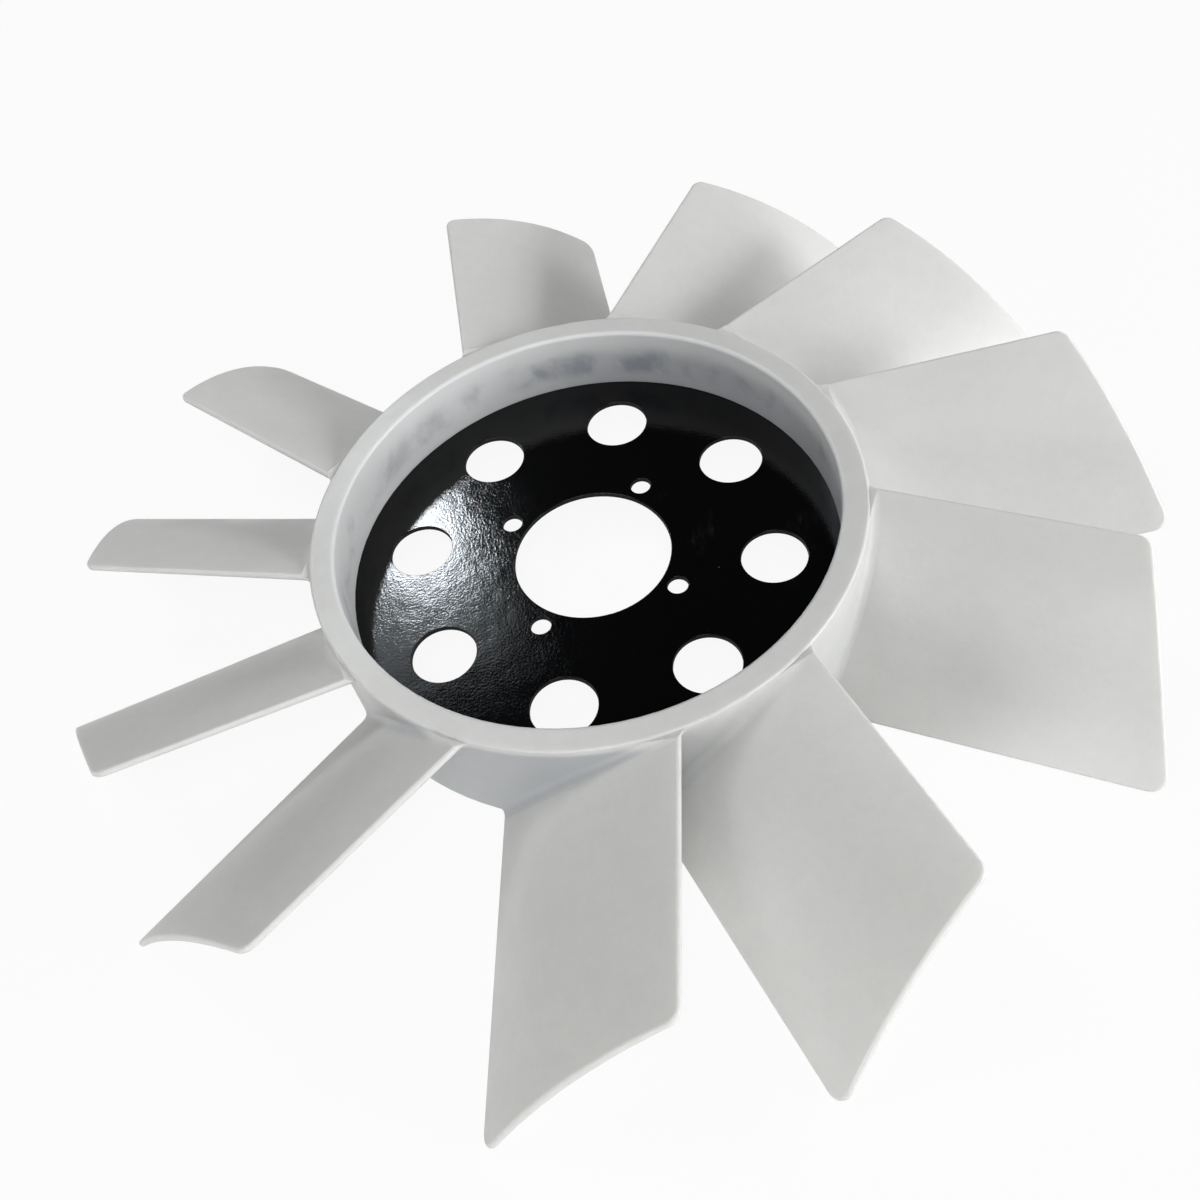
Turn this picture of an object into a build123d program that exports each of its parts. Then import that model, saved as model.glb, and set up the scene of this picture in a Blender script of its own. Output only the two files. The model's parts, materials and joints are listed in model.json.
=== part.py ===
from build123d import *

import math
import os

# Axial cooling-fan impeller: one nylon moulding, a thick ring that carries
# unevenly spaced cambered blades, moulded around the rim of a flat steel hub plate.
# Millimetres. Z is the axis of rotation. The origin is the centre of the pilot
# bore on the plate's front face. Turning counter-clockwise as seen from the front,
# from +Z, the fan moves air from front to back.

# Hub plate
plate_thickness = 2.0
plate_rim_thickness = 1.4
plate_rim_width = 4.0
pilot_bore_diameter = 65.0
bolt_circle_offset = 7.5
bolt_hole_diameter = 8.4
bolt_count = 4
first_bolt_angle = 48.0
vent_circle_diameter = 147.8
vent_diameter = 26.5
vent_count = 8
first_vent_angle = 70.6
punched_edge_round = 0.3

# Ring
ring_inner_diameter = 200.8
ring_wall_thickness = 10.15
ring_front_height = 29.1
ring_back_depth = 19.1
lip_outer_round = 1.0
lip_inner_round = 1.6
ring_back_round = 0.8
back_flare_width = 4.5
back_flare_depth = 12.0

# Blades, each described with its own axis along +X. The upper edge, towards the
# front, leads; the lower edge trails; both are straight. Offsets and heights are
# those of the edges in the planes at the ring's outer wall (root) and at the
# edge's own end (tip).
lower_edge_reach = 225.4
lower_edge_root_offset = -38.1
lower_edge_tip_offset = -42.5
lower_edge_root_height = -21.0
lower_edge_tip_height = -21.7
upper_edge_reach = 204.9
upper_edge_root_offset = 32.6
upper_edge_tip_offset = 27.1
upper_edge_root_height = 28.5
upper_edge_tip_height = 30.8
camber = 6.4
camber_lean = 0.5
blade_edge_thickness = 2.6
blade_root_thickness = 5.0
blade_tip_thickness = 3.2
blade_edge_round = 1.15
tip_corner_radius = 5.5
root_fillet = 3.5

# Angle of the first blade, and the steps from each blade to the next. The step
# from the last blade back to the first is what is left of the circle.
first_blade_angle = -71.1
blade_steps = (40.3, 30.8, 29.4, 26.7, 34.7, 44.7, 27.8, 29.4, 27.6, 39.9)

bolt_circle_radius = pilot_bore_diameter / 2 + bolt_circle_offset
ring_inner_radius = ring_inner_diameter / 2
ring_outer_radius = ring_inner_radius + ring_wall_thickness
plate_radius = ring_inner_radius + plate_rim_width
root_reach = ring_outer_radius + 2 * root_fillet

# The ring's outer rounds end this far outside its wall, so that they cross the wall
trim_radius = ring_outer_radius + 0.1

# How far the blade's faces run on past its edges, as a share of its width
outline_margin = 0.05

# Reach of construction solids beyond the finished surfaces
overshoot = 18.0
blade_start = ring_inner_radius - overshoot
blade_stop = lower_edge_reach + overshoot


def edge_point(x, reach, root_offset, tip_offset, root_height, tip_height):
    """Point of a straight blade edge in the plane at distance x from the axis."""
    share = (x - ring_outer_radius) / (reach - ring_outer_radius)
    offset = root_offset + (tip_offset - root_offset) * share
    height = root_height + (tip_height - root_height) * share
    return Vector(x, offset, height)


def lower_edge_point(x):
    """Point of the lower edge at distance x."""
    return edge_point(
        x,
        lower_edge_reach,
        lower_edge_root_offset,
        lower_edge_tip_offset,
        lower_edge_root_height,
        lower_edge_tip_height,
    )


def upper_edge_point(x):
    """Point of the upper edge at distance x."""
    return edge_point(
        x,
        upper_edge_reach,
        upper_edge_root_offset,
        upper_edge_tip_offset,
        upper_edge_root_height,
        upper_edge_tip_height,
    )


def blossom(points, *parameters):
    """Point of a Bezier curve's polar form, which gives control points of any stretch."""
    for t in parameters:
        points = [a * (1 - t) + b * t for a, b in zip(points, points[1:])]
    return points[0]


def face_curve(start, end, edge_rise, middle_rise, lean):
    """Cubic over the chord from start to end that rises by edge_rise at its ends.

    Between them it follows 4s(1-s)(middle_rise + lean(s-1/2)) on top of that. It
    runs on past both ends, so that the blade's outline can be cut from it.
    """
    chord = end - start
    normal = Vector(1, 0, 0).cross(chord).normalized()
    rises = (
        edge_rise,
        edge_rise + (4 * middle_rise - 2 * lean) / 3,
        edge_rise + (4 * middle_rise + 2 * lean) / 3,
        edge_rise,
    )
    controls = [start + chord * (i / 3) + normal * rise for i, rise in enumerate(rises)]
    low, high = -outline_margin, 1 + outline_margin
    stretches = ((low, low, low), (low, low, high), (low, high, high), (high, high, high))
    return Edge.make_bezier(*[blossom(controls, *stretch) for stretch in stretches])


def blade_section(x):
    """Closed section of the blade in the plane at distance x from the axis."""
    start = lower_edge_point(x)
    end = upper_edge_point(x)
    share = (x - ring_outer_radius) / (lower_edge_reach - ring_outer_radius)
    thickness = blade_root_thickness + (blade_tip_thickness - blade_root_thickness) * share
    half_edge = blade_edge_thickness / 2
    half_swell = (thickness - blade_edge_thickness) / 2
    front = face_curve(start, end, half_edge, camber + half_swell, camber_lean)
    back = face_curve(start, end, -half_edge, camber - half_swell, camber_lean)
    closing = [
        Edge.make_line(front @ 0, back @ 0),
        Edge.make_line(front @ 1, back @ 1),
    ]
    return Wire([front, back, *closing])


def blade_outline():
    """Prism over the blade's outline, square to its chord plane, with rounded tip corners."""
    lower_tip = lower_edge_point(lower_edge_reach)
    upper_tip = upper_edge_point(upper_edge_reach)
    chord = upper_edge_point(lower_edge_reach) - lower_tip
    along = Vector(1, 0, 0)
    chord_plane = Plane(origin=lower_tip, x_dir=along, z_dir=along.cross(chord))
    corners = [
        chord_plane.to_local_coords(point)
        for point in (
            lower_edge_point(blade_start),
            lower_tip,
            upper_tip,
            upper_edge_point(blade_start),
        )
    ]
    outline = make_face(Polyline(*[(p.X, p.Y) for p in corners], close=True))
    tip_corners = outline.vertices().sort_by(Axis.X)[-2:]
    outline = fillet(tip_corners, tip_corner_radius)
    return extrude(chord_plane * outline, 2 * camber + blade_root_thickness, both=True)


def make_blade():
    """One blade with rounded tip corners and rounded edges, its root unfinished."""
    sections = [blade_section(blade_start), blade_section(blade_stop)]
    blade = Solid.make_loft(sections, True) & blade_outline()
    cambered = blade.faces().sort_by(SortBy.AREA)[-2:]
    outline = [
        edge
        for face in cambered
        for edge in face.edges()
        if edge.center().X > blade_start + blade_edge_round
    ]
    return blade.solid().fillet(blade_edge_round, outline)


def blade_angles():
    """Angle of each blade about the axis."""
    angles = [first_blade_angle]
    for step in blade_steps:
        angles.append(angles[-1] + step)
    return angles


def on_ring_wall(edge):
    """Whether an edge lies on the ring's outer wall, between blade and wall."""
    if edge.geom_type == GeomType.CIRCLE or edge.is_closed:
        return False
    points = (edge @ 0, edge @ 0.5, edge @ 1)
    return all(abs(math.hypot(p.X, p.Y) - ring_outer_radius) < 0.01 for p in points)


def front_trim():
    """Solid of revolution that removes all above the lip and above the blade roots."""
    far_height = ring_front_height + blade_stop
    round_start = (trim_radius - lip_outer_round, ring_front_height)
    round_end = (trim_radius, ring_front_height - lip_outer_round)
    root_top = upper_edge_point(root_reach).Z + blade_edge_thickness
    with BuildPart() as trim:
        with BuildSketch(Plane.XZ):
            with BuildLine():
                Line((0, ring_front_height), round_start)
                RadiusArc(round_start, round_end, lip_outer_round)
                Polyline(
                    round_end,
                    (root_reach, root_top),
                    (root_reach, far_height),
                    (0, far_height),
                    (0, ring_front_height),
                )
            make_face()
        revolve(axis=Axis.Z)
    return trim.part


def back_trim():
    """Solid of revolution that removes all below the ring and below the blade roots."""
    far_depth = ring_back_depth + blade_stop
    root_bottom = lower_edge_point(root_reach).Z - blade_edge_thickness
    round_start = (trim_radius - ring_back_round, -ring_back_depth)
    round_end = (trim_radius, ring_back_round - ring_back_depth)
    with BuildPart() as trim:
        with BuildSketch(Plane.XZ):
            with BuildLine():
                Line((0, -ring_back_depth), round_start)
                RadiusArc(round_start, round_end, -ring_back_round)
                Polyline(
                    round_end,
                    (root_reach, root_bottom),
                    (root_reach, -far_depth),
                    (0, -far_depth),
                    (0, -ring_back_depth),
                )
            make_face()
        revolve(axis=Axis.Z)
    return trim.part


def bore_and_seat():
    """The ring's hollow, flared towards the back, with the seat around the plate's rim."""
    height = ring_front_height + ring_back_depth
    middle = (ring_front_height - ring_back_depth) / 2
    bore = Pos(0, 0, middle) * Cylinder(ring_inner_radius, height)
    seat = Pos(0, 0, -plate_thickness / 2) * Cylinder(plate_radius, plate_rim_thickness)
    flare = Pos(0, 0, back_flare_depth / 2 - ring_back_depth) * Cone(
        ring_inner_radius + back_flare_width,
        ring_inner_radius,
        back_flare_depth,
    )
    return bore + seat + flare


def make_moulding():
    """Ring and blades as one moulding."""
    tall = 4 * (ring_front_height + ring_back_depth)
    blade = make_blade()
    body = Cylinder(ring_outer_radius, tall)
    body += [Rot(0, 0, angle) * blade for angle in blade_angles()]
    body = body.fillet(root_fillet, body.edges().filter_by(on_ring_wall))
    body = body - front_trim() - back_trim() - bore_and_seat()
    mouth = (
        body.edges()
        .filter_by(GeomType.CIRCLE)
        .filter_by(lambda edge: abs(edge.radius - ring_inner_radius) < 0.01)
        .sort_by(Axis.Z)[-1]
    )
    return body.fillet(lip_inner_round, [mouth])


def make_hub_plate():
    """Flat round steel plate with a thinned rim, pilot bore, bolt holes and vent holes."""
    plate = Cylinder(ring_inner_radius, plate_thickness)
    plate += Cylinder(plate_radius, plate_rim_thickness)
    plate -= Cylinder(pilot_bore_diameter / 2, plate_thickness)
    bolts = PolarLocations(bolt_circle_radius, bolt_count, first_bolt_angle)
    vents = PolarLocations(vent_circle_diameter / 2, vent_count, first_vent_angle)
    plate -= bolts * Cylinder(bolt_hole_diameter / 2, plate_thickness)
    plate -= vents * Cylinder(vent_diameter / 2, plate_thickness)
    front = plate.faces().sort_by(Axis.Z)[-1]
    holes = [edge for wire in front.inner_wires() for edge in wire.edges()]
    plate = plate.fillet(punched_edge_round, holes)
    return Pos(0, 0, -plate_thickness / 2) * plate


os.makedirs("parts", exist_ok=True)
export_step(make_moulding(), "parts/fan_moulding.step")
export_step(make_hub_plate(), "parts/hub_plate.step")
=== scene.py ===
"""Axial cooling-fan impeller: a natural nylon blade moulding on a black coated hub plate.

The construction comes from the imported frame. This file dresses its two pieces,
lays a pale floor under them, lights them softly and places the camera.
"""

import json
import logging
import math
from dataclasses import dataclass, field, fields
from enum import Enum
from typing import ClassVar

import bpy
from mathutils import Matrix, Vector

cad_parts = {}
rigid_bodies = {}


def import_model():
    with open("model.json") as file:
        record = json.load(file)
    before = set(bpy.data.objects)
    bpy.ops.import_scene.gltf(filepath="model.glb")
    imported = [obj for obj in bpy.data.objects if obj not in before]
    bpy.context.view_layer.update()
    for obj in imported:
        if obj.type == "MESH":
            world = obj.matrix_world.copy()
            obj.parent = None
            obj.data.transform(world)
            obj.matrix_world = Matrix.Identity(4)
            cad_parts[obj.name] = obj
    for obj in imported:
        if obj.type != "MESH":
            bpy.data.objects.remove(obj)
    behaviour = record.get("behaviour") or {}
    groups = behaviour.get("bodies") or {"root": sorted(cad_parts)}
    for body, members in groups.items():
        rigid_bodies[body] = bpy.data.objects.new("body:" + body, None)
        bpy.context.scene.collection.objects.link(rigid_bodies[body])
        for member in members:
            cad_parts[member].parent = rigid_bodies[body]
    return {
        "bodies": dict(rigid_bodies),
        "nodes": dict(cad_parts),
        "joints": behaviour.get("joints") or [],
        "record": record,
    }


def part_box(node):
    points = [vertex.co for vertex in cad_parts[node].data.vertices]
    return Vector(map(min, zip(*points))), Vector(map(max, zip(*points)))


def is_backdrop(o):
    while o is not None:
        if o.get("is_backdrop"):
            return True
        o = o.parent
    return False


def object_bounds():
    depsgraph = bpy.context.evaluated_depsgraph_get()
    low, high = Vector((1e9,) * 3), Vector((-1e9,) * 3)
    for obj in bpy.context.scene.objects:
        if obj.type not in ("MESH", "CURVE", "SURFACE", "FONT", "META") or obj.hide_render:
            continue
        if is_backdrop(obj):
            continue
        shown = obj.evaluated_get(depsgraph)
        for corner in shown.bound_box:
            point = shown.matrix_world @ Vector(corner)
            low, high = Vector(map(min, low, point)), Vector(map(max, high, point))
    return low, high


LOG = logging.getLogger("fan")

Colour = tuple[float, float, float]
Point = tuple[float, float, float]
Span = tuple[float, float]

WHITE: Colour = (1.0, 1.0, 1.0)

# Ranges of masks that rise or fall over what they follow
FULL: Span = (0.0, 1.0)
FALLING: Span = (1.0, 0.0)

# The window is mirrored in the plate's coat, around this point of the plate
WINDOW_AIM: Point = (-0.075, 0.02, 0.0)
DAYLIGHT: Colour = (0.88, 0.95, 1.0)

# Width of the camera's sensor, in millimetres
SENSOR_WIDTH = 36.0


class Piece(Enum):
    """The object's two physical pieces, by their names in the frame."""

    MOULDING = "fan_moulding"
    PLATE = "hub_plate"


# Node helpers


def set_inputs(tree: bpy.types.NodeTree, node: bpy.types.Node, **values: object) -> None:
    """Links or sets inputs of a node.

    Args:
        tree: Node tree that holds the node.
        node: The node.
        **values: Sockets, numbers, vectors or colours without alpha, each by its
            input's name, with underscores for spaces.
    """
    for name, value in values.items():
        socket = node.inputs[name.replace("_", " ")]
        if isinstance(value, bpy.types.NodeSocket):
            tree.links.new(value, socket)
        elif socket.type == "RGBA":
            socket.default_value = (*value, 1.0)
        else:
            socket.default_value = value


def add_node(tree: bpy.types.NodeTree, kind: str, **values: object) -> bpy.types.Node:
    """Adds a node with its options and inputs.

    Args:
        tree: Node tree that gets the node.
        kind: Blender's type name of the node.
        **values: Options by attribute name, before the inputs, and inputs as
            set_inputs takes them.

    Returns:
        The new node.
    """
    node = tree.nodes.new(kind)
    for name, value in values.items():
        if hasattr(node, name):
            setattr(node, name, value)
        else:
            set_inputs(tree, node, **{name: value})
    return node


def scalar(
    tree: bpy.types.NodeTree,
    operation: str,
    *operands: object,
    clamp: bool = False,
) -> bpy.types.NodeSocket:
    """Adds a Math node.

    Args:
        tree: Node tree that gets the node.
        operation: Blender's name of the operation.
        *operands: One or two numbers or sockets.
        clamp: Whether the result is held between 0 and 1.

    Returns:
        The node's output socket.
    """
    node = add_node(tree, "ShaderNodeMath", operation=operation, use_clamp=clamp)
    for socket, operand in zip(node.inputs, operands):
        if isinstance(operand, bpy.types.NodeSocket):
            tree.links.new(operand, socket)
        else:
            socket.default_value = operand
    return node.outputs[0]


def product(
    tree: bpy.types.NodeTree,
    first: bpy.types.NodeSocket,
    *others: object,
) -> bpy.types.NodeSocket:
    """Multiplies a socket by numbers or other sockets.

    Args:
        tree: Node tree that gets the nodes.
        first: First factor.
        *others: Further factors, numbers or sockets.

    Returns:
        The product's socket.
    """
    result = first
    for factor in others:
        result = scalar(tree, "MULTIPLY", result, factor)
    return result


def remap(
    tree: bpy.types.NodeTree,
    value: bpy.types.NodeSocket,
    source: tuple[object, object],
    target: Span = FULL,
) -> bpy.types.NodeSocket:
    """Maps a value from one range smoothly onto another.

    Args:
        tree: Node tree that gets the node.
        value: Socket with the value.
        source: Range that the value is read over, as numbers or sockets.
        target: Range that it is mapped to, held inside its ends.

    Returns:
        The mapped value's socket.
    """
    node = add_node(
        tree,
        "ShaderNodeMapRange",
        interpolation_type="SMOOTHSTEP",
        Value=value,
        From_Min=source[0],
        From_Max=source[1],
        To_Min=target[0],
        To_Max=target[1],
    )
    return node.outputs["Result"]


def tint(
    tree: bpy.types.NodeTree,
    amount: bpy.types.NodeSocket,
    base: object,
    other: Colour,
) -> bpy.types.NodeSocket:
    """Mixes a colour into another by a mask.

    Args:
        tree: Node tree that gets the node.
        amount: Mask from 0, all base, to 1, all other.
        base: Base colour, or a socket that gives it.
        other: Colour that is mixed in.

    Returns:
        The mixed colour's socket.
    """
    node = add_node(tree, "ShaderNodeMix", data_type="RGBA", Factor=amount, A=base, B=other)
    return node.outputs["Result"]


def noise(
    tree: bpy.types.NodeTree,
    point: bpy.types.NodeSocket,
    **values: object,
) -> bpy.types.NodeSocket:
    """Adds noise over a point, with the noise node's other inputs by name."""
    return add_node(tree, "ShaderNodeTexNoise", Vector=point, **values).outputs["Fac"]


def split(
    tree: bpy.types.NodeTree,
    vector: bpy.types.NodeSocket,
) -> tuple[bpy.types.NodeSocket, ...]:
    """Splits a vector into the sockets of its X, Y and Z."""
    return tuple(add_node(tree, "ShaderNodeSeparateXYZ", Vector=vector).outputs)


def seen_rays(tree: bpy.types.NodeTree) -> bpy.types.NodeSocket:
    """Tells rays that show a surface, directly or mirrored, from those that light.

    Args:
        tree: Node tree that gets the nodes.

    Returns:
        Socket that is 1 for camera, glossy and transmission rays.
    """
    rays = tree.nodes.new("ShaderNodeLightPath").outputs
    shown = scalar(tree, "MAXIMUM", rays["Is Camera Ray"], rays["Is Glossy Ray"])
    return scalar(tree, "MAXIMUM", shown, rays["Is Transmission Ray"])


def distance_from_axis(
    tree: bpy.types.NodeTree,
    x: bpy.types.NodeSocket,
    y: bpy.types.NodeSocket,
) -> bpy.types.NodeSocket:
    """Finds how far a point is from the axis of rotation.

    Args:
        tree: Node tree that gets the nodes.
        x: The point's X.
        y: The point's Y.

    Returns:
        Socket of the distance, in metres.
    """
    squares = scalar(tree, "ADD", product(tree, x, x), product(tree, y, y))
    return scalar(tree, "SQRT", squares)


def reach_towards(
    tree: bpy.types.NodeTree,
    x: bpy.types.NodeSocket,
    y: bpy.types.NodeSocket,
    direction: float,
) -> bpy.types.NodeSocket:
    """Finds how far a point lies out in a horizontal direction.

    Args:
        tree: Node tree that gets the nodes.
        x: The point's X.
        y: The point's Y.
        direction: The direction, in degrees from +X towards +Y.

    Returns:
        Socket of the distance, in metres.
    """
    turn = math.radians(direction)
    return scalar(
        tree,
        "ADD",
        product(tree, x, math.cos(turn)),
        product(tree, y, math.sin(turn)),
    )


# Shared effects


@dataclass(frozen=True)
class Effect:
    """An effect kept as a shader node group, built once and placed with its own values.

    Each field of an effect is a number that the group takes, in the input of
    that name. The group also takes the surface point, and gives one value.
    """

    group: ClassVar[str]

    def open_group(
        self,
    ) -> tuple[bpy.types.NodeTree, dict[str, bpy.types.NodeSocket], bpy.types.NodeSocket]:
        """Makes the group's tree with its sockets.

        Returns:
            The tree, its inputs by name, and the socket that takes the result.
        """
        tree = bpy.data.node_groups.new(self.group, "ShaderNodeTree")
        sockets = tree.interface
        sockets.new_socket("Point", in_out="INPUT", socket_type="NodeSocketVector")
        for number in fields(self):
            label = number.name.capitalize()
            sockets.new_socket(label, in_out="INPUT", socket_type="NodeSocketFloat")
        sockets.new_socket("Value", in_out="OUTPUT", socket_type="NodeSocketFloat")
        entry = tree.nodes.new("NodeGroupInput")
        leave = tree.nodes.new("NodeGroupOutput")
        return tree, {s.name: s for s in entry.outputs if s.name}, leave.inputs["Value"]

    def place(
        self,
        tree: bpy.types.NodeTree,
        point: bpy.types.NodeSocket,
    ) -> bpy.types.NodeSocket:
        """Places the group in a material.

        Args:
            tree: The material's node tree.
            point: Socket with the surface point, in metres.

        Returns:
            The group's value socket.
        """
        if self.group not in bpy.data.node_groups:
            self.build()
        node = add_node(tree, "ShaderNodeGroup", node_tree=bpy.data.node_groups[self.group])
        numbers = {item.name.capitalize(): getattr(self, item.name) for item in fields(self)}
        set_inputs(tree, node, Point=point, **numbers)
        return node.outputs["Value"]

    def build(self) -> None:
        """Builds the group's nodes."""
        raise NotImplementedError


@dataclass(frozen=True)
class CloudyTone(Effect):
    """Soft irregular patches, such as uneven colour in a thick moulding.

    Attributes:
        size: Size of the patches, in metres.
        low: Level of the noise below which there are none.
        high: Level of the noise above which they are at their fullest.
    """

    group: ClassVar[str] = "cloudy_tone"
    size: float
    low: float
    high: float

    def build(self) -> None:
        """Builds noise of the given size, cut between the low and high levels."""
        tree, given, result = self.open_group()
        rate = scalar(tree, "DIVIDE", 1.0, given["Size"])
        tone = noise(tree, given["Point"], Scale=rate, Detail=4.0, Roughness=0.55, Distortion=0.4)
        tree.links.new(remap(tree, tone, (given["Low"], given["High"])), result)


@dataclass(frozen=True)
class ScatteredSpecks(Effect):
    """Small sparse dots, such as dust nibs in a coat or specks on a moulding.

    Attributes:
        spacing: Distance between neighbouring places for a dot, in metres.
        reach: Radius of a dot, as a share of the spacing.
        share: Share of the places that have a dot.
    """

    group: ClassVar[str] = "scattered_specks"
    spacing: float
    reach: float
    share: float

    def build(self) -> None:
        """Builds round dots on a loose grid, of which only a share is kept."""
        tree, given, result = self.open_group()
        rate = scalar(tree, "DIVIDE", 1.0, given["Spacing"])
        cells = add_node(
            tree,
            "ShaderNodeTexVoronoi",
            Vector=given["Point"],
            Scale=rate,
            Randomness=1.0,
        )
        near = scalar(tree, "LESS_THAN", cells.outputs["Distance"], given["Reach"])
        lot = add_node(tree, "ShaderNodeSeparateColor", Color=cells.outputs["Color"])
        kept = scalar(tree, "LESS_THAN", lot.outputs["Red"], given["Share"])
        tree.links.new(product(tree, near, kept), result)


@dataclass(frozen=True)
class DrawnStreaks(Effect):
    """Fine streaks that run along the Y axis, such as runs in a coat or flow lines.

    Attributes:
        width: Width of a streak, in metres.
        length: Length of a streak, in metres.
    """

    group: ClassVar[str] = "drawn_streaks"
    width: float
    length: float

    def build(self) -> None:
        """Builds noise that is stretched along the point's Y axis."""
        tree, given, result = self.open_group()
        x, y, z = split(tree, given["Point"])
        drawn = add_node(
            tree,
            "ShaderNodeCombineXYZ",
            X=scalar(tree, "DIVIDE", x, given["Width"]),
            Y=scalar(tree, "DIVIDE", y, given["Length"]),
            Z=scalar(tree, "DIVIDE", z, given["Width"]),
        )
        streaks = noise(
            tree,
            drawn.outputs["Vector"],
            Scale=1.0,
            Detail=3.0,
            Roughness=0.5,
            Distortion=0.6,
        )
        tree.links.new(streaks, result)


# Finishes


@dataclass(frozen=True)
class Finish:
    """A surface finish that becomes one material."""

    name: str

    def open_material(self) -> tuple[bpy.types.Material, bpy.types.Node, bpy.types.NodeSocket]:
        """Makes the material with its shader.

        Returns:
            The material, its Principled shader and the socket of the surface point.
        """
        material = bpy.data.materials.new(self.name)
        material.use_nodes = True
        tree = material.node_tree
        shader = next(n for n in tree.nodes if n.type == "BSDF_PRINCIPLED")
        point = tree.nodes.new("ShaderNodeTexCoord").outputs["Object"]
        return material, shader, point

    def raise_surface(
        self,
        tree: bpy.types.NodeTree,
        shader: bpy.types.Node,
        layers: list[tuple[bpy.types.NodeSocket, float]],
    ) -> None:
        """Adds bumps to the shader's normal, one over the other.

        Args:
            tree: The material's node tree.
            shader: The Principled shader.
            layers: Height of each bump and its depth in metres.
        """
        normal = None
        for height, depth in layers:
            bump = add_node(tree, "ShaderNodeBump", Strength=1.0, Distance=depth, Height=height)
            if normal is not None:
                tree.links.new(normal, bump.inputs["Normal"])
            normal = bump.outputs["Normal"]
        tree.links.new(normal, shader.inputs["Normal"])


@dataclass(frozen=True)
class InnerWallTone:
    """Cooler, blotchy tone of the ring's inner wall, with painted shade on one side.

    Attributes:
        radius: Radius within which the wall lies, in metres.
        fade: Width of the soft edge beyond it, in metres.
        strength: Share of the wall's own colour.
        band: Heights between which the dull patches lie, in metres.
        band_fades: Heights over which they fade in at the bottom and out at the top.
        patches: The dull patches.
        patch_strength: Share of the dull colour in the patches.
        dull_side: Direction in which the painted shade is darkest, in degrees from +X towards +Y.
        dull_start: Reach in that direction from which the painted shade begins, in metres.
        dull_strength: Share of the dull colour where the painted shade is darkest.
    """

    radius: float = 0.1012
    fade: float = 0.0006
    strength: float = 0.6
    band: Span = (0.003, 0.024)
    band_fades: Span = (0.006, 0.010)
    patches: CloudyTone = CloudyTone(size=0.019, low=0.4, high=0.72)
    patch_strength: float = 0.6
    dull_side: float = 35.0
    dull_start: float = 0.01
    dull_strength: float = 0.55

    def masks(
        self,
        tree: bpy.types.NodeTree,
        point: bpy.types.NodeSocket,
    ) -> tuple[bpy.types.NodeSocket, bpy.types.NodeSocket]:
        """Finds the wall, where it is blotched and where its shade is painted.

        Args:
            tree: The material's node tree.
            point: Socket with the surface point.

        Returns:
            Sockets of the share of the wall's colour and of the dull colour, which gives both
            blotches and painted shade.
        """
        x, y, height = split(tree, point)
        distance = distance_from_axis(tree, x, y)
        wall = remap(tree, distance, (self.radius, self.radius + self.fade), FALLING)
        low, high = self.band
        low_fade, high_fade = self.band_fades
        above = remap(tree, height, (low, low + low_fade))
        below = remap(tree, height, (high - high_fade, high), FALLING)
        patches = self.patches.place(tree, point)
        spots = product(tree, patches, self.patch_strength, above, below, wall)
        # Painted shade: darker colour on one side of the inner wall.
        reach = reach_towards(tree, x, y, self.dull_side)
        side = remap(tree, reach, (self.dull_start, self.radius))
        shade = product(tree, side, self.dull_strength, below, wall)
        return product(tree, wall, self.strength), scalar(tree, "ADD", spots, shade, clamp=True)


@dataclass(frozen=True)
class OuterWallShade:
    """Painted shade on one side of the ring's outer wall, between the blade roots.

    Attributes:
        band: Radii between which the wall lies, in metres.
        band_fades: Widths of the band's soft edges inside and outside, in metres.
        top: Height below which the painted shade lies, in metres.
        top_fade: Height over which the painted shade fades in, in metres.
        grey_side: Direction in which the painted shade is darkest, in degrees from +X towards +Y.
        grey_reach: Reaches in that direction over which the painted shade fades in, in metres.
        strength: Share of the dull colour where the painted shade is darkest.
    """

    band: Span = (0.1085, 0.1155)
    band_fades: Span = (0.001, 0.004)
    top: float = 0.0275
    top_fade: float = 0.003
    grey_side: float = -112.0
    grey_reach: Span = (0.083, 0.11)
    strength: float = 0.6

    def mask(
        self,
        tree: bpy.types.NodeTree,
        point: bpy.types.NodeSocket,
    ) -> bpy.types.NodeSocket:
        """Finds where the wall gets its painted shade.

        Args:
            tree: The material's node tree.
            point: Socket with the surface point.

        Returns:
            Socket of the share of the dull colour that paints the shade.
        """
        x, y, height = split(tree, point)
        distance = distance_from_axis(tree, x, y)
        low, high = self.band
        low_fade, high_fade = self.band_fades
        outside = remap(tree, distance, (low, low + low_fade))
        inside = remap(tree, distance, (high - high_fade, high), FALLING)
        below = remap(tree, height, (self.top - self.top_fade, self.top), FALLING)
        # Painted shade: darker towards one side of the outer wall.
        reach = reach_towards(tree, x, y, self.grey_side)
        side = remap(tree, reach, self.grey_reach, (0.0, self.strength))
        return product(tree, outside, inside, below, side)


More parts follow.
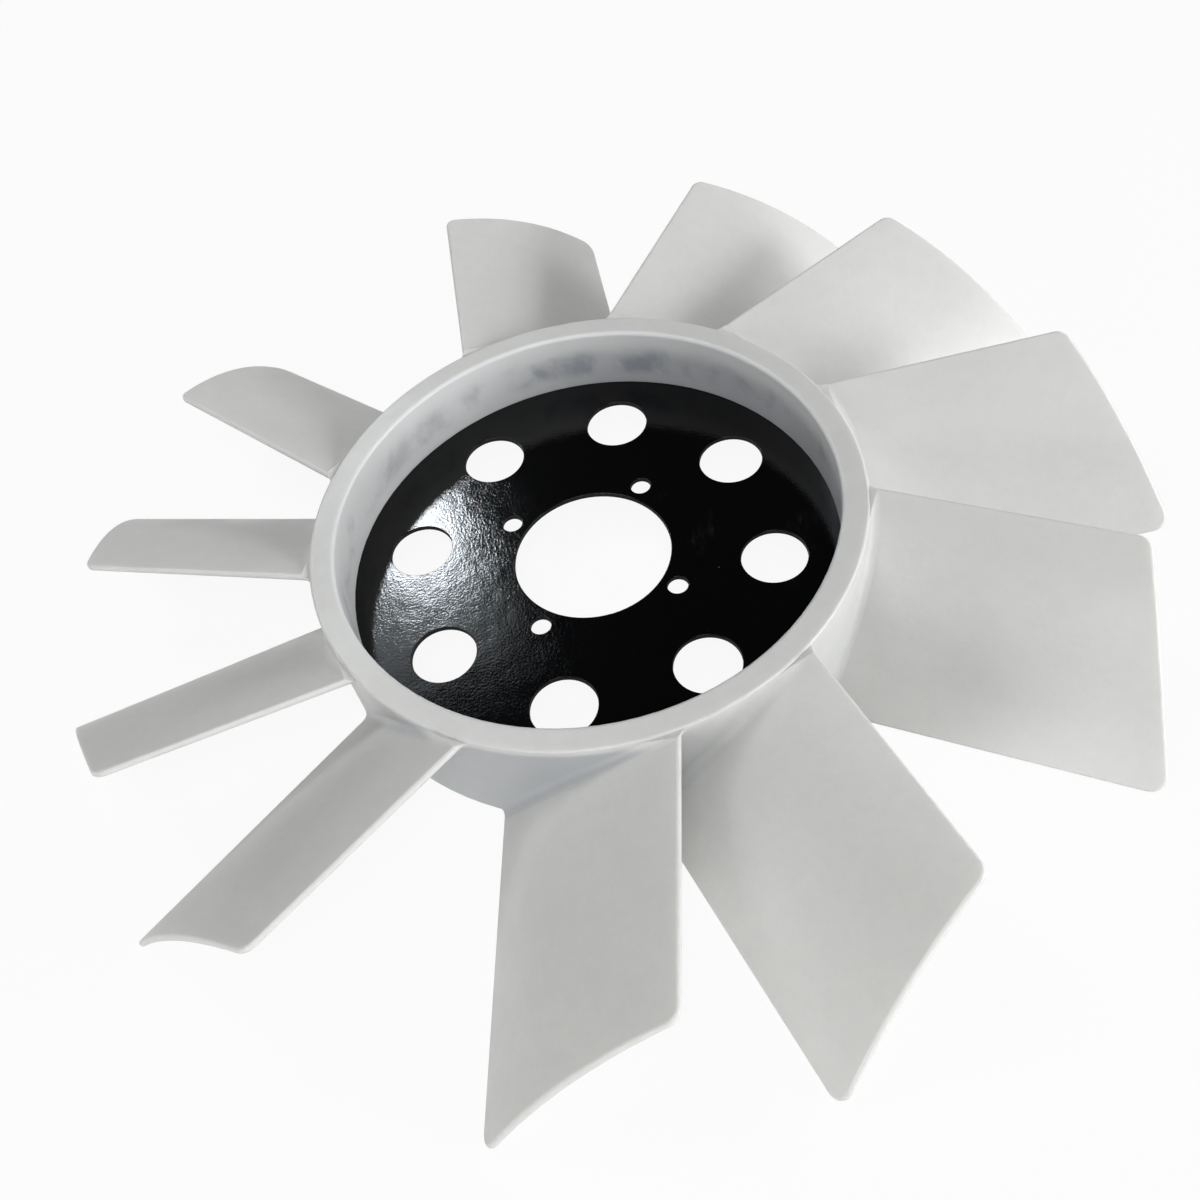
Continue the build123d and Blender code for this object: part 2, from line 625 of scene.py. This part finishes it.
@dataclass(frozen=True)
class NaturalNylon(Finish):
    """Uncoloured nylon: satin, milky and slightly see-through where it is thin.

    Attributes:
        body: Colour of the moulding.
        drift: Colour that it drifts to in clouds.
        deep: Cooler colour of the thick ring's inner wall.
        blotch: Dull colour of the inner wall's blotches, and of the shade painted on both walls.
        speck: Colour of the rare specks.
        clouds: The clouds, from broad to fine, each with its strength.
        inner_wall: Tone of the ring's inner wall, with its painted shade.
        outer_wall: Painted shade on the ring's outer wall.
        specks: The specks.
        speck_strength: Share of their colour.
        haze: Clouds that change the roughness.
        roughness: Roughness outside and inside that haze.
        milkiness: Share of the light that goes through the skin.
        milk_depths: How far red, green and blue light goes in, relative to the reach.
        milk_reach: The reach, in metres.
        refraction: Index of refraction.
        specular: Level of the shader's highlight.
        sinks: Shallow hollows of uneven shrinkage.
        sink_depth: Their depth, in metres.
        grain_rate: Grains of the skin in a metre.
        grain_depth: Depth of the grain, in metres.
    """

    name: str = "milky_nylon"
    body: Colour = (0.66, 0.665, 0.65)
    drift: Colour = (0.58, 0.585, 0.575)
    # Dull colour for the blotches and for the painted shade on the walls.
    deep: Colour = (0.68, 0.695, 0.71)
    blotch: Colour = (0.31, 0.33, 0.365)
    speck: Colour = (0.16, 0.15, 0.13)
    clouds: tuple[tuple[CloudyTone, float], ...] = (
        (CloudyTone(size=0.09, low=0.3, high=0.7), 0.3),
        (CloudyTone(size=0.006, low=0.3, high=0.75), 0.28),
        (CloudyTone(size=0.0014, low=0.35, high=0.7), 0.16),
    )
    inner_wall: InnerWallTone = InnerWallTone()
    outer_wall: OuterWallShade = OuterWallShade()
    specks: ScatteredSpecks = ScatteredSpecks(spacing=0.03, reach=0.014, share=0.3)
    speck_strength: float = 0.5
    haze: CloudyTone = CloudyTone(size=0.04, low=0.3, high=0.7)
    roughness: Span = (0.38, 0.48)
    milkiness: float = 0.45
    milk_depths: Colour = (1.0, 0.97, 0.9)
    milk_reach: float = 0.005
    refraction: float = 1.5
    specular: float = 0.5
    sinks: CloudyTone = CloudyTone(size=0.035, low=0.2, high=0.8)
    sink_depth: float = 0.0003
    grain_rate: float = 1400.0
    grain_depth: float = 0.00002

    def build(self) -> bpy.types.Material:
        """Builds the material.

        Returns:
            The material.
        """
        material, shader, point = self.open_material()
        tree = material.node_tree
        haze = self.haze.place(tree, point)
        set_inputs(
            tree,
            shader,
            Base_Color=self.tone(tree, point),
            Roughness=remap(tree, haze, FULL, self.roughness),
            Subsurface_Weight=self.milkiness,
            Subsurface_Radius=self.milk_depths,
            Subsurface_Scale=self.milk_reach,
            IOR=self.refraction,
            Specular_IOR_Level=self.specular,
        )
        sinks = self.sinks.place(tree, point)
        grain = noise(tree, point, Scale=self.grain_rate, Detail=2.0, Roughness=0.6)
        layers = [(sinks, self.sink_depth), (grain, self.grain_depth)]
        self.raise_surface(tree, shader, layers)
        return material

    def tone(
        self,
        tree: bpy.types.NodeTree,
        point: bpy.types.NodeSocket,
    ) -> bpy.types.NodeSocket:
        """Mixes the colour of the surface.

        Args:
            tree: The material's node tree.
            point: Socket with the surface point.

        Returns:
            The colour's socket.
        """
        tone = self.body
        for clouds, strength in self.clouds:
            tone = tint(tree, product(tree, clouds.place(tree, point), strength), tone, self.drift)
        wall, dull = self.inner_wall.masks(tree, point)
        tone = tint(tree, wall, tone, self.deep)
        # Blotches on the inner wall, and painted shade on one side of it.
        tone = tint(tree, dull, tone, self.blotch)
        # Painted shade on one side of the outer wall.
        tone = tint(tree, self.outer_wall.mask(tree, point), tone, self.blotch)
        specks = product(tree, self.specks.place(tree, point), self.speck_strength)
        return tint(tree, specks, tone, self.speck)


@dataclass(frozen=True)
class BlackCoat(Finish):
    """Glossy black coat over pressed steel, with orange peel, runs, nibs and smears.

    Attributes:
        pigment: Colour of the coat.
        smear: Colour of dried smears on it.
        nib: Colour of dust nibs.
        clouds: Patches where the coat is hazy and smeared.
        streaks: Streaks of the smears and runs.
        smear_levels: Levels of the streaks between which a smear starts and is full.
        smear_strength: Share of the smears' colour.
        nibs: The dust nibs.
        nib_strength: Share of their colour.
        gloss: Roughness of the clear and of the hazy coat.
        wall_slopes: Upright share of the normal over which a wall turns into a face.
        wall_roughness: Roughness of the punched walls, where the coat is thin.
        refraction: Index of refraction.
        specular: Level of the shader's highlight.
        sag_rate: Waves of the sagged coat in a metre.
        sag_depth: Their depth, in metres.
        run_patches: Patches where the coat has runs.
        run_depth: Depth of the runs, in metres.
        peel_rate: Dimples of the orange peel in a metre.
        peel_depth: Their depth, in metres.
        nib_depth: Height of the nibs, in metres.
    """

    name: str = "black_coat"
    pigment: Colour = (0.0025, 0.0026, 0.003)
    smear: Colour = (0.03, 0.032, 0.036)
    nib: Colour = (0.08, 0.08, 0.085)
    clouds: CloudyTone = CloudyTone(size=0.03, low=0.56, high=0.8)
    streaks: DrawnStreaks = DrawnStreaks(width=0.0016, length=0.009)
    smear_levels: Span = (0.45, 0.75)
    smear_strength: float = 0.5
    nibs: ScatteredSpecks = ScatteredSpecks(spacing=0.011, reach=0.035, share=0.35)
    nib_strength: float = 0.6
    gloss: Span = (0.07, 0.17)
    wall_slopes: Span = (0.2, 0.6)
    wall_roughness: float = 0.75
    refraction: float = 1.5
    specular: float = 0.25
    sag_rate: float = 60.0
    sag_depth: float = 0.00012
    run_patches: CloudyTone = CloudyTone(size=0.02, low=0.42, high=0.6)
    run_depth: float = 0.00002
    peel_rate: float = 950.0
    peel_depth: float = 0.00004
    nib_depth: float = 0.00003

    def build(self) -> bpy.types.Material:
        """Builds the material.

        Returns:
            The material.
        """
        material, shader, point = self.open_material()
        tree = material.node_tree
        clouds = self.clouds.place(tree, point)
        streaks = self.streaks.place(tree, point)
        nibs = self.nibs.place(tree, point)
        smears = product(tree, clouds, remap(tree, streaks, self.smear_levels), self.smear_strength)
        tone = tint(tree, smears, self.pigment, self.smear)
        tone = tint(tree, product(tree, nibs, self.nib_strength), tone, self.nib)
        gloss = remap(tree, clouds, FULL, self.gloss)
        set_inputs(
            tree,
            shader,
            Base_Color=tone,
            Roughness=scalar(tree, "MAXIMUM", gloss, self.punched_walls(tree)),
            IOR=self.refraction,
            Specular_IOR_Level=self.specular,
        )
        sag = noise(tree, point, Scale=self.sag_rate, Detail=2.0, Roughness=0.5)
        runs = product(tree, streaks, self.run_patches.place(tree, point))
        peel = noise(tree, point, Scale=self.peel_rate, Detail=2.0, Roughness=0.6)
        layers = [
            (sag, self.sag_depth),
            (runs, self.run_depth),
            (peel, self.peel_depth),
            (nibs, self.nib_depth),
        ]
        self.raise_surface(tree, shader, layers)
        return material

    def punched_walls(self, tree: bpy.types.NodeTree) -> bpy.types.NodeSocket:
        """Finds the walls of the punched holes, where the thin coat is dull.

        Args:
            tree: The material's node tree.

        Returns:
            Socket of the walls' roughness, 0 on the faces.
        """
        normal = tree.nodes.new("ShaderNodeTexCoord").outputs["Normal"]
        _, _, rise = split(tree, normal)
        upright = scalar(tree, "ABSOLUTE", rise)
        return remap(tree, upright, self.wall_slopes, (self.wall_roughness, 0.0))


@dataclass(frozen=True)
class PaleFloor(Finish):
    """Plain pale floor that shows white behind the fan and keeps its soft shadow.

    Attributes:
        colour: Colour that the floor lights the fan with.
        roughness: Its roughness.
        glow: Share of plain white in what the camera sees of it.
    """

    name: str = "pale_floor"
    colour: Colour = (0.82, 0.82, 0.82)
    roughness: float = 0.9
    glow: float = 0.92

    def build(self) -> bpy.types.Material:
        """Builds the material.

        Returns:
            The material.
        """
        material, shader, _ = self.open_material()
        tree = material.node_tree
        set_inputs(
            tree,
            shader,
            Base_Color=self.colour,
            Roughness=self.roughness,
            Specular_IOR_Level=0.0,
        )
        white = add_node(tree, "ShaderNodeEmission", Color=WHITE, Strength=1.0)
        share = product(tree, seen_rays(tree), self.glow)
        mix = add_node(tree, "ShaderNodeMixShader", Fac=share)
        tree.links.new(shader.outputs[0], mix.inputs[1])
        tree.links.new(white.outputs[0], mix.inputs[2])
        output = next(n for n in tree.nodes if n.type == "OUTPUT_MATERIAL")
        tree.links.new(mix.outputs[0], output.inputs["Surface"])
        return material


# The object


@dataclass
class DressedNode:
    """A piece of the frame that keeps its own shape and gets a finish.

    Attributes:
        piece: The piece.
        finish: Its finish.
    """

    piece: Piece
    finish: Finish

    def dress(self, frame: dict) -> bpy.types.Object:
        """Gives the piece its material.

        Args:
            frame: The loaded frame.

        Returns:
            The piece's object.
        """
        node = frame["nodes"][self.piece.value]
        material = self.finish.build()
        if not node.material_slots:
            node.data.materials.append(material)
        for place in node.material_slots:
            place.material = material
        low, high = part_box(self.piece.value)
        size = " x ".join(f"{(b - a) * 1000:.0f}" for a, b in zip(low, high))
        LOG.info("%s dressed in %s, %s mm", self.piece.value, self.finish.name, size)
        return node


# The studio


@dataclass
class StudioFloor:
    """Floor that the fan lies on.

    Attributes:
        half: Half of its side, in metres.
        finish: Its finish.
    """

    half: float = 4.0
    finish: PaleFloor = field(default_factory=PaleFloor)

    def lay(self, height: float) -> bpy.types.Object:
        """Lays the floor at a height.

        Args:
            height: Height of its surface, in metres.

        Returns:
            The floor's object.
        """
        mesh = bpy.data.meshes.new("floor")
        signs = ((-1, -1), (1, -1), (1, 1), (-1, 1))
        corners = [(x * self.half, y * self.half, height) for x, y in signs]
        mesh.from_pydata(corners, [], [(0, 1, 2, 3)])
        mesh.materials.append(self.finish.build())
        floor = bpy.data.objects.new("floor", mesh)
        bpy.context.scene.collection.objects.link(floor)
        floor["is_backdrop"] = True
        return floor


@dataclass
class SoftLamp:
    """Rectangular soft lamp that faces a point of the fan.

    Attributes:
        name: Its name.
        azimuth: Direction it stands in, in degrees from +X towards +Y.
        elevation: Height of that direction over the floor, in degrees.
        radiance: Brightness of its face, where 1 is plain white.
        size: Its width and height, in metres.
        distance: How far it is from the point, in metres.
        aim: The point that it faces, in metres.
        colour: Colour of its light.
        lights: Whether it lights surfaces, or is only mirrored in glossy ones.
    """

    name: str
    azimuth: float
    elevation: float
    radiance: float
    size: Span = (0.8, 0.8)
    distance: float = 2.0
    aim: Point = (0.0, 0.0, 0.0)
    colour: Colour = WHITE
    lights: bool = True

    def hang(self) -> bpy.types.Object:
        """Hangs the lamp.

        Returns:
            The lamp's object.
        """
        width, height = self.size
        data = bpy.data.lights.new(self.name, "AREA")
        data.shape = "RECTANGLE"
        data.size = width
        data.size_y = height
        data.color = self.colour
        data.energy = self.radiance * math.pi * width * height
        lamp = bpy.data.objects.new(self.name, data)
        lamp.visible_camera = False
        lamp.visible_diffuse = self.lights
        turn = math.radians(self.azimuth)
        rise = math.radians(self.elevation)
        level = math.cos(rise)
        away = Vector((math.cos(turn) * level, math.sin(turn) * level, math.sin(rise)))
        lamp.location = Vector(self.aim) + away * self.distance
        lamp.rotation_mode = "QUATERNION"
        lamp.rotation_quaternion = away.to_track_quat("Z", "Y")
        bpy.context.scene.collection.objects.link(lamp)
        return lamp


@dataclass
class MirroredLamp(SoftLamp):
    """Lamp of the window that the plate's coat mirrors. It lights no surface."""

    aim: Point = WINDOW_AIM
    colour: Colour = DAYLIGHT
    lights: bool = False


@dataclass
class Studio:
    """Lamps and surroundings.

    Attributes:
        surround: Brightness of the plain surroundings.
        horizon: Heights, as sines of the elevation, between which the pale
            backdrop around the floor fades out.
        lamps: The lamps.
    """

    surround: float = 0.02
    horizon: Span = (0.36, 0.5)
    lamps: tuple[SoftLamp, ...] = (
        SoftLamp("front_lamp", azimuth=-90.0, elevation=60.0, radiance=6.8),
        SoftLamp("left_lamp", azimuth=-120.0, elevation=12.0, radiance=6.8),
        SoftLamp("right_lamp", azimuth=-30.0, elevation=12.0, radiance=12.1),
        SoftLamp("far_right_lamp", azimuth=0.0, elevation=12.0, radiance=5.8),
        SoftLamp("back_lamp", azimuth=135.0, elevation=60.0, radiance=5.2),
        SoftLamp("overhead_lamp", azimuth=120.0, elevation=82.0, radiance=1.0),
        MirroredLamp("window_core", 100.7, 46.0, radiance=90.0, size=(0.14, 0.16)),
        MirroredLamp("window_panel", 103.5, 48.5, radiance=3.6, size=(0.36, 0.38)),
    )

    def light(self) -> None:
        """Sets the surroundings and hangs the lamps."""
        world = bpy.data.worlds.new("studio")
        world.use_nodes = True
        tree = world.node_tree
        sky = next(n for n in tree.nodes if n.type == "BACKGROUND")
        direction = tree.nodes.new("ShaderNodeTexCoord").outputs["Generated"]
        _, _, height = split(tree, direction)
        pale = product(tree, seen_rays(tree), remap(tree, height, self.horizon, FALLING))
        set_inputs(tree, sky, Color=WHITE, Strength=scalar(tree, "MAXIMUM", pale, self.surround))
        bpy.context.scene.world = world
        for lamp in self.lamps:
            lamp.hang()


@dataclass
class PhotoCamera:
    """Camera at the photograph's viewing angle.

    Attributes:
        location: Where it stands, in metres.
        aim: A point on its optical axis, in metres.
        roll: Its turn about that axis, in degrees.
        focal: Focal length in pixels of the frame.
        centre: Pixel of the frame that the optical axis meets.
        frame: Side of the square frame, in pixels.
    """

    location: Point = (0.0, -0.343, 0.4055)
    aim: Point = (-0.01323, -0.00492, -0.001)
    roll: float = -15.9
    focal: float = 1295.8
    centre: Span = (563.5, 571.5)
    frame: float = 1200.0

    def set_up(self) -> bpy.types.Object:
        """Makes the camera and gives it to the scene.

        Returns:
            The camera's object.
        """
        data = bpy.data.cameras.new("photo_camera")
        data.sensor_width = SENSOR_WIDTH
        data.lens = SENSOR_WIDTH * self.focal / self.frame
        across, down = self.centre
        data.shift_x = 0.5 - across / self.frame
        data.shift_y = down / self.frame - 0.5
        ahead = (Vector(self.aim) - Vector(self.location)).normalized()
        level = ahead.cross(Vector((0.0, 0.0, 1.0))).normalized()
        upward = level.cross(ahead)
        turn = math.radians(self.roll)
        right = level * math.cos(turn) + upward * math.sin(turn)
        top = upward * math.cos(turn) - level * math.sin(turn)
        camera = bpy.data.objects.new("photo_camera", data)
        camera.rotation_mode = "QUATERNION"
        camera.rotation_quaternion = Matrix((right, top, -ahead)).transposed().to_quaternion()
        camera.location = self.location
        bpy.context.scene.collection.objects.link(camera)
        bpy.context.scene.camera = camera
        return camera


def main() -> None:
    """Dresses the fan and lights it."""
    logging.basicConfig(level=logging.INFO, format="%(name)s: %(message)s")
    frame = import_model()
    cad_box = [list(corner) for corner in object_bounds()]
    bpy.context.scene.view_settings.view_transform = "Standard"
    for node in (
        DressedNode(Piece.MOULDING, NaturalNylon()),
        DressedNode(Piece.PLATE, BlackCoat()),
    ):
        node.dress(frame)
    StudioFloor().lay(cad_box[0][2])
    Studio().light()
    PhotoCamera().set_up()


if __name__ == "__main__":
    main()
